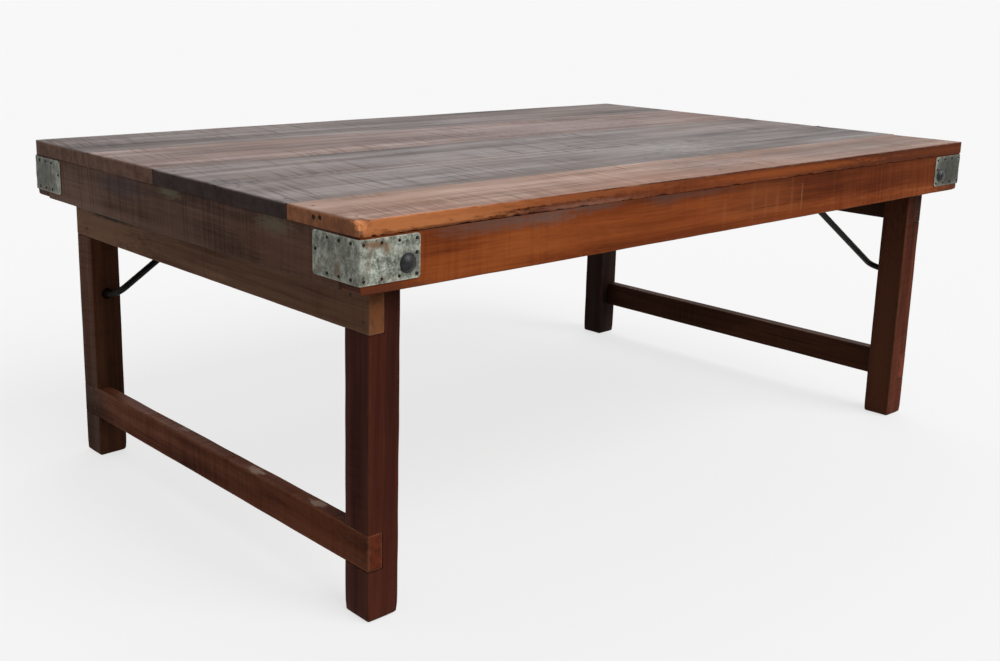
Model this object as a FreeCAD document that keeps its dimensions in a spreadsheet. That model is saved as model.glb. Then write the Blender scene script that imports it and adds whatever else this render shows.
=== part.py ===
import FreeCAD, Part
import Sketcher
import math
import os
import re

from FreeCAD import Placement, Rotation, Vector

# Sizes in millimetres. Each size that can be set by itself stands here once.
SIZES = [
    # deck of lengthwise planks on the apron frame
    ("deck_height", 438.0),
    ("frame_length", 1201.0),
    ("frame_width", 753.0),
    ("plank_overhang", 1.5),
    ("plank_gap", 0.3),
    ("plank_1_width", 124.5),
    ("plank_2_width", 144.0),
    ("plank_3_width", 143.5),
    ("plank_4_width", 172.5),
    ("plank_1_thick", 17.5),
    ("plank_2_thick", 18.0),
    ("plank_3_thick", 19.0),
    ("plank_4_thick", 20.0),
    ("plank_5_thick", 20.0),
    ("plank_1_overrun", 6.0),
    ("plank_2_overrun", 10.0),
    ("plank_3_overrun", 2.0),
    ("plank_4_overrun", -4.0),
    ("plank_5_overrun", -1.0),
    ("plank_edge_ease", 1.0),
    ("deck_corner_round", 9.0),
    # apron frame and the cross members under the planks
    ("apron_height", 59.0),
    ("side_apron_thick", 34.5),
    ("end_apron_thick", 28.0),
    ("apron_edge_ease", 3.0),
    ("apron_corner_round", 9.0),
    ("batten_width", 50.0),
    ("batten_thick", 9.0),
    ("centre_rail_thick", 30.0),
    ("centre_rail_height", 50.0),
    # galvanised corner plates
    ("plate_thick", 1.2),
    ("plate_side_reach", 77.0),
    ("plate_end_reach", 79.0),
    ("plate_height", 46.5),
    ("plate_drop", 2.0),
    ("plate_corner_round", 4.5),
    ("plate_bend_round", 1.0),
    ("plate_nail_margin", 5.0),
    ("plate_end_row", 39.0),
    ("plate_tip_nail_up", 27.0),
    # pivot bolts, one through each side apron and leg
    ("pivot_inset", 59.5),
    ("pivot_drop", 31.5),
    ("pivot_side_gap", 0.5),
    ("bolt_dia", 8.0),
    ("bolt_head_dia", 21.0),
    ("bolt_head_height", 6.0),
    ("bolt_neck_depth", 5.0),
    ("bolt_tail", 3.0),
    ("bolt_hole_gap", 0.3),
    ("leg_bore_gap", 0.09),
    ("nut_bore_gap", 0.1),
    ("washer_dia", 24.0),
    ("washer_thick", 2.5),
    ("nut_corner_dia", 15.0),
    ("nut_thick", 6.5),
    # leg frames
    ("leg_depth", 42.0),
    ("leg_width", 43.0),
    ("leg_head", 18.0),
    ("leg_top_clip", 6.0),
    ("leg_edge_ease", 2.0),
    ("rail_gap", 3.0),
    ("rail_height", 51.0),
    ("rail_thick", 21.0),
    ("stretcher_bottom", 60.0),
    ("stretcher_height", 43.5),
    ("stretcher_thick", 20.0),
    ("rail_edge_ease", 1.5),
    # stay rods
    ("rod_dia", 9.5),
    ("stay_run", 273.0),
    ("eye_drop", 22.0),
    ("eye_gap", 0.4),
    ("eye_wall", 6.0),
    ("eye_thick", 10.5),
    ("stay_offset", 21.0),
    ("stay_bend_radius", 20.0),
    ("hook_drop", 164.5),
    ("hook_shift", 1.2),
    ("hook_depth", 5.0),
    ("hook_tip_ease", 1.5),
    ("hook_hole_dia", 14.5),
    ("hook_hole_depth", 9.0),
    ("stay_pin_dia", 8.0),
    ("stay_pin_head_dia", 17.0),
    ("stay_pin_head_height", 4.0),
    ("stay_pin_cover", 0.8),
    # headed nails in the plates, and headless cut nails in the wood
    ("nail_shank", 2.6),
    ("nail_point", 1.2),
    ("nail_head", 4.0),
    ("nail_head_crown", 2.2),
    ("nail_head_height", 1.2),
    ("plate_nail_length", 12.0),
    ("cut_nail_top", 3.2),
    ("cut_nail_stand", 0.3),
    ("cut_nail_set", 0.5),
    ("cut_nail_gap", 0.2),
    ("deck_nail_length", 42.0),
    ("deck_nail_inset", 25.0),
    ("batten_nail_length", 20.0),
    ("lap_nail_length", 34.0),
]

# Places and sizes that follow from those above.
DERIVED = [
    ("deck_width", "frame_width + 2 * plank_overhang"),
    ("first_planks", "plank_1_width + plank_2_width + plank_3_width + plank_4_width"),
    ("plank_5_width", "deck_width - first_planks - 4 * plank_gap"),
    ("overrun_1_to_3", "max(plank_1_overrun; plank_2_overrun; plank_3_overrun)"),
    ("longest_overrun", "max(overrun_1_to_3; plank_4_overrun; plank_5_overrun)"),
    ("plate_reach", "plate_thick + nail_head_height"),
    ("left_reach", "max(plank_overhang; plate_reach)"),
    ("right_reach", "max(longest_overrun; plate_reach)"),
    ("frame_shift", "(left_reach - right_reach) / 2"),
    ("left_end", "frame_shift - frame_length / 2"),
    ("right_end", "frame_shift + frame_length / 2"),
    ("apron_bottom", "deck_height - apron_height"),
    ("inner_width", "frame_width - 2 * side_apron_thick"),
    ("plate_bottom", "deck_height - plate_drop - plate_height"),
    ("plate_end_start", "plate_nail_length + nail_shank"),
    ("pivot_x", "frame_length / 2 - pivot_inset"),
    ("pivot_height", "deck_height - pivot_drop"),
    ("bolt_seat", "frame_width / 2 + plate_thick"),
    ("leg_outer_side", "frame_width / 2 - side_apron_thick - pivot_side_gap"),
    ("leg_inner_side", "leg_outer_side - leg_width"),
    ("leg_centre", "leg_outer_side - leg_width / 2"),
    ("leg_length", "pivot_height + leg_head"),
    ("nut_washer_seat", "leg_inner_side - pivot_side_gap"),
    ("nut_seat", "nut_washer_seat - washer_thick"),
    ("bolt_length", "bolt_seat - nut_seat + nut_thick + bolt_tail"),
    ("rail_top", "apron_bottom - rail_gap"),
    ("rail_bottom", "rail_top - rail_height"),
    ("stretcher_top", "stretcher_bottom + stretcher_height"),
    ("eye_x", "pivot_x - stay_run"),
    ("eye_height", "deck_height - eye_drop"),
    ("hook_height", "pivot_height - hook_drop"),
    ("stay_y", "leg_inner_side - stay_offset"),
    ("stay_reach", "stay_run - hook_shift"),
    ("stay_fall", "eye_height - hook_height"),
    ("stay_angle", "atan2(stay_fall; stay_reach)"),
    ("stay_length", "sqrt(stay_reach ^ 2 + stay_fall ^ 2)"),
    ("eye_bore", "stay_pin_dia + 2 * eye_gap"),
    ("eye_root", "eye_bore / 2 + eye_wall / 2"),
    ("stay_pin_seat", "eye_thick / 2 + eye_gap"),
    ("stay_pin_tip", "stay_pin_cover + stay_pin_dia / 2 * sin(stay_angle)"),
    ("stay_pin_rise", "(eye_drop - stay_pin_tip) / cos(stay_angle)"),
    ("dome_radius", "(bolt_head_dia ^ 2 / 4 + bolt_head_height ^ 2) / (2 * bolt_head_height)"),
]

SIDE_LEG_NAILS = 4
END_LEG_NAILS = 3
PLANKS = 5
OUTWARD_ALONG_Y = Vector(0, 1, 0)
HALF_TURN = Rotation(Vector(0, 0, 1), 180)
NO_TURN = Rotation()

doc = FreeCAD.newDocument("folding_coffee_table")
sheet = doc.addObject("Spreadsheet::Sheet", "sizes")
aliases = set()
nodes = []


def fill_sheet():
    rows = [(name, "%g" % number) for name, number in SIZES]
    for row, (name, text) in enumerate(rows, start=1):
        sheet.set("A%d" % row, name)
        sheet.set("B%d" % row, text)
        sheet.setAlias("B%d" % row, name)
        aliases.add(name)
    for row, (name, formula) in enumerate(DERIVED, start=len(rows) + 1):
        sheet.set("A%d" % row, name)
        sheet.set("B%d" % row, "=" + formula)
        sheet.setAlias("B%d" % row, name)
        aliases.add(name)
    doc.recompute()


def linked(formula):
    """The formula with each size name pointing at the sheet."""
    def point_at_sheet(match):
        word = match.group(0)
        return "sizes." + word if word in aliases else word
    return re.sub(r"[a-z][a-z_0-9]*", point_at_sheet, formula)


def value(formula):
    result = sheet.evalExpression(linked(formula))
    return float(getattr(result, "Value", result))


def bind(feature, prop, formula):
    feature.setExpression(prop, linked(formula))


def place(feature, x, y, z, rotation=NO_TURN):
    feature.Placement = Placement(Vector(0, 0, 0), rotation)
    for axis, formula in (("x", x), ("y", y), ("z", z)):
        bind(feature, "Placement.Base." + axis, formula)


def new_body(label):
    body = doc.addObject("PartDesign::Body", label)
    nodes.append(body)
    return body


def new_sketch(body, role, offset=None):
    sketch = body.newObject("Sketcher::SketchObject", body.Name + "_sketch")
    support = [plane for plane in body.Origin.OriginFeatures if plane.Role == role]
    sketch.AttachmentSupport = [(support[0], "")]
    sketch.MapMode = "FlatFace"
    if offset:
        bind(sketch, "AttachmentOffset.Base.z", offset)
    return sketch


def fix_point(sketch, geometry, point, x, y):
    for kind, formula in (("DistanceX", x), ("DistanceY", y)):
        rule = Sketcher.Constraint(kind, -1, 1, geometry, point, value(formula))
        index = sketch.addConstraint(rule)
        sketch.setExpression("Constraints[%d]" % index, linked(formula))


def fix_level(sketch, geometry, point, y):
    rule = Sketcher.Constraint("DistanceY", -1, 1, geometry, point, value(y))
    index = sketch.addConstraint(rule)
    sketch.setExpression("Constraints[%d]" % index, linked(y))


def draw_polygon(sketch, points):
    corners = [Vector(value(x), value(y), 0) for x, y in points]
    count = len(corners)
    first = sketch.GeometryCount
    for i in range(count):
        sketch.addGeometry(Part.LineSegment(corners[i], corners[(i + 1) % count]))
    for i in range(count):
        following = first + (i + 1) % count
        sketch.addConstraint(Sketcher.Constraint("Coincident", first + i, 2, following, 1))
    for i, (x, y) in enumerate(points):
        fix_point(sketch, first + i, 1, x, y)


def draw_rectangle(sketch, x_low, y_low, x_high, y_high):
    draw_polygon(sketch, [(x_low, y_low), (x_high, y_low), (x_high, y_high), (x_low, y_high)])


def draw_square(sketch, x, y, side):
    half = "(%s) / 2" % side
    draw_rectangle(sketch, "%s - %s" % (x, half), "%s - %s" % (y, half),
                   "%s + %s" % (x, half), "%s + %s" % (y, half))


def draw_circle(sketch, x, y, diameter):
    shape = Part.Circle(Vector(value(x), value(y), 0), Vector(0, 0, 1), value(diameter) / 2)
    index = sketch.addGeometry(shape)
    fix_point(sketch, index, 3, x, y)
    rule = sketch.addConstraint(Sketcher.Constraint("Diameter", index, value(diameter)))
    sketch.setExpression("Constraints[%d]" % rule, linked(diameter))


def pad(body, sketch, length, both_ways=False):
    feature = body.newObject("PartDesign::Pad", body.Name + "_pad")
    feature.Profile = sketch
    bind(feature, "Length", length)
    if both_ways:
        feature.SideType = "Symmetric"
    doc.recompute()
    return feature


def pocket(body, sketch, length, both_ways=False):
    before = body.Shape.Volume
    feature = body.newObject("PartDesign::Pocket", body.Name + "_cut")
    feature.Profile = sketch
    bind(feature, "Length", length)
    if both_ways:
        feature.SideType = "Symmetric"
    doc.recompute()
    if feature.Shape.Volume >= before:
        raise ValueError("no wood or metal removed from " + body.Label)
    return feature


def round_edges(body, base, names, radius):
    feature = body.newObject("PartDesign::Fillet", body.Name + "_round")
    feature.Base = (base, names)
    bind(feature, "Radius", radius)
    doc.recompute()
    return feature


def ease_edges(body, base, names, size):
    feature = body.newObject("PartDesign::Chamfer", body.Name + "_ease")
    feature.Base = (base, names)
    bind(feature, "Size", size)
    doc.recompute()
    return feature


def edges_along(feature, axis, test):
    """Names of the straight edges along one axis whose middle passes the test."""
    names = []
    for number, edge in enumerate(feature.Shape.Edges, start=1):
        box = edge.BoundBox
        spans = {"x": box.XLength, "y": box.YLength, "z": box.ZLength}
        others = [span for name, span in spans.items() if name != axis]
        if max(others) < 1e-4 and test(box.Center):
            names.append("Edge%d" % number)
    return names


def top_face(feature):
    heights = [face.CenterOfMass.z for face in feature.Shape.Faces]
    return ["Face%d" % (heights.index(max(heights)) + 1)]


def near(first, second):
    return abs(first - second) < 1e-3


def make_plank(number):
    label = "deck_plank_%d" % number
    body = new_body(label)
    width = "plank_%d_width" % number
    length = "frame_length + plank_overhang + plank_%d_overrun" % number
    sketch = new_sketch(body, "XY_Plane")
    draw_rectangle(sketch, "0", "0", length, width)
    board = pad(body, sketch, "plank_%d_thick" % number)
    if number in (1, PLANKS):
        outer = 0.0 if number == 1 else value(width)
        corners = edges_along(board, "z", lambda centre: near(centre.y, outer))
        board = round_edges(body, board, corners, "deck_corner_round")
    ease_edges(body, board, top_face(board), "plank_edge_ease")
    holes = new_sketch(body, "XY_Plane", "plank_%d_thick" % number)
    for along, across in deck_nail_spots(number):
        draw_square(holes, along, across, "cut_nail_top + 2 * cut_nail_gap")
    pocket(body, holes, "cut_nail_set")
    place(body, "left_end - plank_overhang", plank_front(number), "deck_height")


def plank_front(number):
    """Front edge of a plank, counted from the front of the deck."""
    before = ["plank_%d_width + plank_gap" % n for n in range(1, number)]
    return " + ".join(["-deck_width / 2"] + before)


def deck_nail_spots(number):
    """Nail places on a plank, from its left front corner: two over each apron and the middle rail."""
    rows = ["plank_overhang + end_apron_thick / 2",
            "plank_overhang + frame_length / 2",
            "plank_overhang + frame_length - end_apron_thick / 2"]
    lines = ["deck_nail_inset", "plank_%d_width - deck_nail_inset" % number]
    return [(row, line) for row in rows for line in lines]


def make_side_apron(label, side):
    body = new_body(label)
    sketch = new_sketch(body, "XY_Plane")
    draw_rectangle(sketch, "-frame_length / 2", "0", "frame_length / 2", "side_apron_thick")
    board = pad(body, sketch, "apron_height")
    bolt_z = "pivot_height - apron_bottom"
    for bolt_x in ("-pivot_x", "pivot_x"):
        hole = new_sketch(body, "XZ_Plane")
        draw_circle(hole, bolt_x, bolt_z, "bolt_dia + 2 * bolt_hole_gap")
        pocket(body, hole, "side_apron_thick")
        neck = new_sketch(body, "XZ_Plane")
        draw_square(neck, bolt_x, bolt_z, "bolt_dia + 2 * bolt_hole_gap")
        board = pocket(body, neck, "bolt_neck_depth")
    ends = edges_along(board, "y", lambda centre: near(centre.z, 0))
    board = round_edges(body, board, ends, "apron_corner_round")
    lower = edges_along(board, "x", lambda centre: near(centre.z, 0) and near(centre.y, 0))
    ease_edges(body, board, lower, "apron_edge_ease")
    if side == "front":
        place(body, "frame_shift", "-frame_width / 2", "apron_bottom")
    else:
        place(body, "frame_shift", "frame_width / 2", "apron_bottom", HALF_TURN)


def make_end_apron(label, side):
    body = new_body(label)
    sketch = new_sketch(body, "XY_Plane")
    draw_rectangle(sketch, "0", "-inner_width / 2", "end_apron_thick", "inner_width / 2")
    board = pad(body, sketch, "apron_height")
    lower = edges_along(board, "y", lambda centre: near(centre.z, 0) and near(centre.x, 0))
    ease_edges(body, board, lower, "apron_edge_ease")
    if side == "left":
        place(body, "left_end", "0", "apron_bottom")
    else:
        place(body, "right_end", "0", "apron_bottom", HALF_TURN)


def make_cross_member(label, centre, width, height):
    body = new_body(label)
    sketch = new_sketch(body, "XY_Plane")
    draw_rectangle(sketch, "-%s / 2" % width, "-inner_width / 2",
                   "%s / 2" % width, "inner_width / 2")
    board = pad(body, sketch, height)
    lower = edges_along(board, "y", lambda spot: near(spot.z, 0))
    ease_edges(body, board, lower, "rail_edge_ease")
    place(body, centre, "0", "deck_height - " + height)


def plate_nail_spots(start, row, count, reach):
    """Nail places on one leg of a corner plate: along it from the bend, and up it."""
    spots = [("%s - plate_nail_margin" % reach, "plate_tip_nail_up")]
    for number in range(count):
        along = "%s + %d * (%s) / %d" % (start, number, row, count - 1)
        spots.append((along, "plate_nail_margin"))
        spots.append((along, "plate_height - plate_nail_margin"))
    return spots


def side_leg_spots():
    row = "plate_side_reach - 2 * plate_nail_margin"
    return plate_nail_spots("plate_nail_margin", row, SIDE_LEG_NAILS, "plate_side_reach")


def end_leg_spots():
    """On the end leg the rows start past the tips of the nails driven from the side."""
    return plate_nail_spots("plate_end_start", "plate_end_row", END_LEG_NAILS, "plate_end_reach")


def make_corner_plate(label, sign, x, y, rotation):
    """A bent plate: one leg along +X, the other along +Y or, mirrored, along -Y."""
    body = new_body(label)
    sketch = new_sketch(body, "XY_Plane")
    outline = [("0", "0"), ("plate_side_reach", "0"),
               ("plate_side_reach", "plate_thick"), ("plate_thick", "plate_thick"),
               ("plate_thick", "plate_end_reach"), ("0", "plate_end_reach")]
    draw_polygon(sketch, [(along, "%d * %s" % (sign, across)) for along, across in outline])
    metal = pad(body, sketch, "plate_height")
    bend = edges_along(metal, "z", lambda centre: near(centre.x, 0) and near(centre.y, 0))
    metal = round_edges(body, metal, bend, "plate_bend_round")
    side_tip = value("plate_side_reach")
    end_tip = value("plate_end_reach")
    corners = edges_along(metal, "y", lambda centre: near(centre.x, side_tip))
    corners += edges_along(metal, "x", lambda centre: near(abs(centre.y), end_tip))
    round_edges(body, metal, corners, "plate_corner_round")
    hole = new_sketch(body, "XZ_Plane")
    draw_square(hole, "pivot_inset + plate_thick", "pivot_height - plate_bottom",
                "bolt_dia + 2 * bolt_hole_gap")
    pocket(body, hole, "2 * plate_thick", both_ways=True)
    place(body, x, y, "plate_bottom", rotation)


def make_leg(label, x, y, rotation, hooked):
    """A leg on its foot's centre, outer face to -X and, where hooked, the rod's hole to -Y."""
    body = new_body(label)
    sketch = new_sketch(body, "XY_Plane")
    draw_rectangle(sketch, "-leg_depth / 2", "-leg_width / 2", "leg_depth / 2", "leg_width / 2")
    post = pad(body, sketch, "leg_length")
    head = edges_along(post, "y", lambda centre: near(centre.z, value("leg_length")))
    post = ease_edges(body, post, head, "leg_top_clip")
    upright = edges_along(post, "z", lambda centre: True)
    ease_edges(body, post, upright, "leg_edge_ease")
    laps = new_sketch(body, "XZ_Plane")
    draw_rectangle(laps, "-leg_depth", "rail_bottom", "rail_thick - leg_depth / 2", "rail_top")
    draw_rectangle(laps, "-leg_depth", "stretcher_bottom",
                   "stretcher_thick - leg_depth / 2", "stretcher_top")
    pocket(body, laps, "2 * leg_width", both_ways=True)
    bore = new_sketch(body, "XZ_Plane")
    draw_circle(bore, "0", "pivot_height", "bolt_dia + 2 * leg_bore_gap")
    pocket(body, bore, "2 * leg_width", both_ways=True)
    if hooked:
        hole = new_sketch(body, "XZ_Plane", "leg_width / 2")
        draw_circle(hole, "0", "hook_height", "hook_hole_dia")
        pocket(body, hole, "hook_hole_depth")
    place(body, x, y, "0", rotation)


def make_rail(label, thick, height, bottom, x, rotation):
    """A rail let into the outer faces of both legs, flush with them."""
    body = new_body(label)
    sketch = new_sketch(body, "XY_Plane")
    draw_rectangle(sketch, "-leg_depth / 2", "-leg_outer_side",
                   "%s - leg_depth / 2" % thick, "leg_outer_side")
    board = pad(body, sketch, height)
    lengthwise = edges_along(board, "y", lambda centre: True)
    ease_edges(body, board, lengthwise, "rail_edge_ease")
    place(body, x, "0", bottom, rotation)


def make_stay_rod(label, x, y, rotation):
    """A bent rod in its own plane: forged eye at the origin, rod along +X, hook turned to +Y."""
    body = new_body(label)
    ring = new_sketch(body, "XY_Plane")
    draw_circle(ring, "0", "0", "eye_bore + 2 * eye_wall")
    draw_circle(ring, "0", "0", "eye_bore")
    pad(body, ring, "eye_thick", both_ways=True)
    section = new_sketch(body, "YZ_Plane", "eye_root")
    draw_circle(section, "0", "0", "rod_dia")
    path = new_sketch(body, "XY_Plane")
    start = value("eye_root")
    reach = value("stay_length")
    radius = value("stay_bend_radius")
    tip = value("stay_offset + hook_depth")
    centre = Vector(reach - radius, radius, 0)
    path.addGeometry(Part.LineSegment(Vector(start, 0, 0), Vector(reach - radius, 0, 0)))
    bend = Part.Circle(centre, Vector(0, 0, 1), radius)
    path.addGeometry(Part.ArcOfCircle(bend, 1.5 * math.pi, 2 * math.pi))
    path.addGeometry(Part.LineSegment(Vector(reach, radius, 0), Vector(reach, tip, 0)))
    fix_point(path, 0, 1, "eye_root", "0")
    fix_point(path, 0, 2, "stay_length - stay_bend_radius", "0")
    fix_point(path, 1, 3, "stay_length - stay_bend_radius", "stay_bend_radius")
    path.addConstraint(Sketcher.Constraint("Coincident", 0, 2, 1, 1))
    path.addConstraint(Sketcher.Constraint("Coincident", 1, 2, 2, 1))
    path.addConstraint(Sketcher.Constraint("Vertical", 2))
    fix_level(path, 2, 1, "stay_bend_radius")
    fix_level(path, 2, 2, "stay_offset + hook_depth")
    doc.recompute()
    bar = body.newObject("PartDesign::AdditivePipe", label + "_bar")
    bar.Profile = section
    bar.Spine = (path, ["Edge1", "Edge2", "Edge3"])
    doc.recompute()
    rims = []
    for number, edge in enumerate(bar.Shape.Edges, start=1):
        box = edge.BoundBox
        if box.YLength < 1e-4 and near(box.YMin, tip):
            rims.append("Edge%d" % number)
    ease_edges(body, bar, rims, "hook_tip_ease")
    place(body, x, y, "eye_height", rotation)
    return body


def make_stay_pin():
    """A headed pin along Z with the middle of the rod's eye at its origin, head below."""
    shank = doc.addObject("Part::Cylinder", "stay_pin_shank")
    bind(shank, "Radius", "stay_pin_dia / 2")
    bind(shank, "Height", "stay_pin_seat + stay_pin_rise")
    bind(shank, "Placement.Base.z", "-stay_pin_seat")
    head = doc.addObject("Part::Cone", "stay_pin_head")
    bind(head, "Radius1", "stay_pin_head_dia / 3")
    bind(head, "Radius2", "stay_pin_head_dia / 2")
    bind(head, "Height", "stay_pin_head_height")
    bind(head, "Placement.Base.z", "-stay_pin_seat - stay_pin_head_height")
    pin = doc.addObject("Part::Fuse", "stay_pin")
    pin.Base = shank
    pin.Tool = head
    doc.recompute()
    return pin


def make_tapered_block(name, top, top_y, low, low_y):
    """A square block along Y, from one size and level at its top to another at its low end."""
    block = doc.addObject("Part::Wedge", name)
    bind(block, "Ymin", low_y)
    bind(block, "Ymax", top_y)
    for axis in "XZ":
        bind(block, axis + "min", "-%s / 2" % low)
        bind(block, axis + "max", "%s / 2" % low)
        bind(block, axis + "2min", "-%s / 2" % top)
        bind(block, axis + "2max", "%s / 2" % top)
    doc.recompute()
    return block


def make_plate_nail():
    """A headed nail: head on the sheet, outwards along +Y, shank along -Y."""
    nail = doc.addObject("Part::Fuse", "plate_nail")
    nail.Base = make_tapered_block("plate_nail_shank", "nail_shank", "0",
                                   "nail_point", "-plate_nail_length")
    nail.Tool = make_tapered_block("plate_nail_head", "nail_head_crown", "nail_head_height",
                                   "nail_head", "0")
    doc.recompute()
    return nail


def make_cut_nail(name, length, stand):
    """A headless nail along -Y whose top stands that far above the wood."""
    return make_tapered_block(name, "cut_nail_top", stand, "nail_point", "%s - %s" % (stand, length))


def make_group(label, item, placements):
    group = doc.addObject("Part::Feature", label)
    copies = []
    for spot in placements:
        copy = item.Shape.copy()
        copy.Placement = spot.multiply(item.Shape.Placement)
        copies.append(copy)
    group.Shape = Part.makeCompound(copies)
    nodes.append(group)


def facing(spot, outward):
    return Placement(spot, Rotation(OUTWARD_ALONG_Y, outward))


def make_plate_nails(label, plate_label, sign, nail):
    plate = doc.getObject(plate_label)
    spots = []
    for along, up in side_leg_spots():
        spots.append(facing(Vector(value(along), 0, value(up)), Vector(0, -sign, 0)))
    for along, up in end_leg_spots():
        spots.append(facing(Vector(0, sign * value(along), value(up)), Vector(-1, 0, 0)))
    make_group(label, nail, [plate.Placement.multiply(spot) for spot in spots])


def make_deck_nails(nail):
    spots = []
    for number in range(1, PLANKS + 1):
        plank = doc.getObject("deck_plank_%d" % number)
        top = value("plank_%d_thick" % number)
        for along, across in deck_nail_spots(number):
            spot = facing(Vector(value(along), value(across), top), Vector(0, 0, 1))
            spots.append(plank.Placement.multiply(spot))
    make_group("deck_nails", nail, spots)


def make_batten_nails(nail):
    """One nail where each plank crosses each batten, beside the rod's pin."""
    under = value("deck_height - batten_thick")
    end = value("inner_width / 2")
    spots = []
    for row in ("frame_shift - eye_x + batten_width / 4", "frame_shift + eye_x - batten_width / 4"):
        for number in range(1, PLANKS + 1):
            front = value(plank_front(number))
            back = front + value("plank_%d_width" % number)
            middle = (max(front, -end) + min(back, end)) / 2
            spots.append(facing(Vector(value(row), middle, under), Vector(0, 0, -1)))
    make_group("batten_nails", nail, spots)


def make_lap_nails(label, outer, outward, nail):
    laps = (("rail_bottom", "rail_height"), ("stretcher_bottom", "stretcher_height"))
    spots = []
    for leg in ("-leg_centre", "leg_centre"):
        for bottom, height in laps:
            for step in (-1, 1):
                across = value("%s + %d * leg_width / 4" % (leg, step))
                up = value("%s + %s / 2 + %d * %s / 4" % (bottom, height, step, height))
                spots.append(facing(Vector(value(outer), across, up), Vector(outward, 0, 0)))
    make_group(label, nail, spots)


def make_bolt():
    """A coach bolt along +Y: domed head outside at -Y, square neck, plain shank."""
    shank = doc.addObject("Part::Cylinder", "bolt_shank")
    bind(shank, "Radius", "bolt_dia / 2")
    bind(shank, "Height", "bolt_length")
    dome = doc.addObject("Part::Sphere", "bolt_dome")
    bind(dome, "Radius", "dome_radius")
    bind(dome, "Angle1", "asin((dome_radius - bolt_head_height) / dome_radius)")
    dome.Placement = Placement(Vector(0, 0, 0), Rotation(Vector(1, 0, 0), 180))
    bind(dome, "Placement.Base.z", "dome_radius - bolt_head_height")
    neck = doc.addObject("Part::Box", "bolt_neck")
    bind(neck, "Length", "bolt_dia")
    bind(neck, "Width", "bolt_dia")
    bind(neck, "Height", "plate_thick + bolt_neck_depth - bolt_hole_gap")
    bind(neck, "Placement.Base.x", "-bolt_dia / 2")
    bind(neck, "Placement.Base.y", "-bolt_dia / 2")
    bolt = doc.addObject("Part::MultiFuse", "bolt")
    bolt.Shapes = [shank, dome, neck]
    bolt.Placement = Placement(Vector(0, 0, 0), Rotation(Vector(1, 0, 0), -90))
    doc.recompute()
    return bolt


def make_ring(name, solid, height, bore):
    hole = doc.addObject("Part::Cylinder", name + "_bore")
    bind(hole, "Radius", bore)
    bind(hole, "Height", height)
    ring = doc.addObject("Part::Cut", name)
    ring.Base = solid
    ring.Tool = hole
    ring.Placement = Placement(Vector(0, 0, 0), Rotation(Vector(1, 0, 0), -90))
    doc.recompute()
    return ring


def make_washer():
    disc = doc.addObject("Part::Cylinder", "washer_disc")
    bind(disc, "Radius", "washer_dia / 2")
    bind(disc, "Height", "washer_thick")
    return make_ring("washer", disc, "washer_thick", "bolt_dia / 2 + bolt_hole_gap")


def make_nut():
    block = doc.addObject("Part::Prism", "nut_block")
    block.Polygon = 6
    bind(block, "Circumradius", "nut_corner_dia / 2")
    bind(block, "Height", "nut_thick")
    return make_ring("nut", block, "nut_thick", "bolt_dia / 2 + nut_bore_gap")


def pivot_spots(depth):
    """Places on all four pivot axes at one distance from the middle, facing inwards."""
    spots = []
    height = value("pivot_height")
    for x in (value("frame_shift - pivot_x"), value("frame_shift + pivot_x")):
        spots.append(Placement(Vector(x, -value(depth), height), NO_TURN))
        spots.append(Placement(Vector(x, value(depth), height), HALF_TURN))
    return spots


def build_top():
    for number in range(1, PLANKS + 1):
        make_plank(number)
    make_side_apron("side_apron_front", "front")
    make_side_apron("side_apron_back", "back")
    make_end_apron("end_apron_left", "left")
    make_end_apron("end_apron_right", "right")
    make_cross_member("cross_batten_left", "frame_shift - eye_x", "batten_width", "batten_thick")
    make_cross_member("cross_batten_right", "frame_shift + eye_x", "batten_width", "batten_thick")
    make_cross_member("centre_rail", "frame_shift", "centre_rail_thick", "centre_rail_height")
    left, right = "left_end - plate_thick", "right_end + plate_thick"
    make_corner_plate("corner_plate_front_left", 1, left, "-bolt_seat", NO_TURN)
    make_corner_plate("corner_plate_back_left", -1, left, "bolt_seat", NO_TURN)
    make_corner_plate("corner_plate_front_right", -1, right, "-bolt_seat", HALF_TURN)
    make_corner_plate("corner_plate_back_right", 1, right, "bolt_seat", HALF_TURN)


def build_leg_frames():
    left, right = "frame_shift - pivot_x", "frame_shift + pivot_x"
    make_leg("leg_front_left", left, "-leg_centre", NO_TURN, False)
    make_leg("leg_back_left", left, "leg_centre", NO_TURN, True)
    make_leg("leg_front_right", right, "-leg_centre", HALF_TURN, True)
    make_leg("leg_back_right", right, "leg_centre", HALF_TURN, False)
    for side, x, rotation in (("left", left, NO_TURN), ("right", right, HALF_TURN)):
        make_rail("upper_rail_" + side, "rail_thick", "rail_height", "rail_bottom", x, rotation)
        make_rail("lower_stretcher_" + side, "stretcher_thick", "stretcher_height",
                  "stretcher_bottom", x, rotation)


def build_stays():
    slope = value("stay_angle")
    down_left = Rotation(Vector(0, 1, 0), 180 - slope)
    left, right = "frame_shift - eye_x", "frame_shift + eye_x"
    rod_left = make_stay_rod("stay_rod_left", left, "stay_y", down_left)
    rod_right = make_stay_rod("stay_rod_right", right, "-stay_y", HALF_TURN.multiply(down_left))
    doc.recompute()
    upright_left = Placement(rod_left.Placement.Base, Rotation(Vector(0, 1, 0), -slope))
    upright_right = Placement(rod_right.Placement.Base, Rotation(Vector(0, 1, 0), slope))
    make_group("stay_pins", make_stay_pin(), [upright_left, upright_right])


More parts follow.
